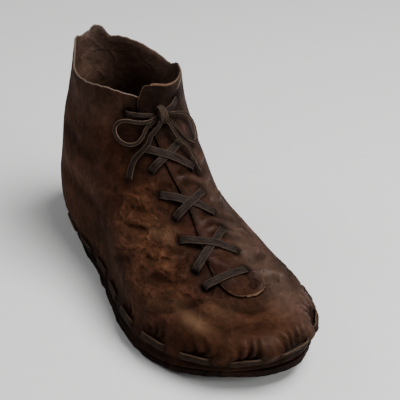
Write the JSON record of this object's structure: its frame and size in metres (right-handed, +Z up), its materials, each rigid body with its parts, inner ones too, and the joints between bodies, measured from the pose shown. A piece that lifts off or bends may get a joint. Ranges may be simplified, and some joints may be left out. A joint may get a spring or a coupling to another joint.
{
  "type": "hide ankle shoe",
  "caption": "Right ankle-high shoe of brown hide with a wavy cut collar, a lapped instep flap, flat thong lacing tied in a bow, and a flat sole sewn on with long thong stitches.",
  "frame": {"origin": "on the floor under the middle of the shoe's box", "axes": "+Z up, -Y towards the toe, +X towards the inner side of the foot"},
  "size_m": [0.1198, 0.2826, 0.1479],
  "materials": {
    "hide_upper": "mottled oiled hide",
    "hide_sole": "thick raw hide",
    "sole_thong": "flat cut thong",
    "lace": "flat cut thong"
  },
  "bodies": {
    "root": {"upper": "hide_upper", "sole": "hide_sole", "sole_stitch_01": "sole_thong", "sole_stitch_02": "sole_thong", "sole_stitch_03": "sole_thong", "sole_stitch_04": "sole_thong", "sole_stitch_05": "sole_thong", "sole_stitch_06": "sole_thong", "sole_stitch_07": "sole_thong", "sole_stitch_08": "sole_thong", "sole_stitch_09": "sole_thong", "sole_stitch_10": "sole_thong", "sole_stitch_11": "sole_thong", "sole_stitch_12": "sole_thong", "sole_stitch_13": "sole_thong", "sole_stitch_14": "sole_thong", "sole_stitch_15": "sole_thong", "sole_stitch_16": "sole_thong", "sole_stitch_17": "sole_thong", "sole_stitch_18": "sole_thong", "sole_stitch_19": "sole_thong", "sole_stitch_20": "sole_thong", "lace_bar": "lace", "lace_cross_1": "lace", "lace_cross_2": "lace", "lace_cross_3": "lace", "lace_top_outer": "lace", "lace_top_inner": "lace", "lace_knot": "lace", "lace_loop_outer": "lace", "lace_loop_inner": "lace", "lace_end_outer": "lace", "lace_end_inner": "lace"}
  },
  "joints": []
}
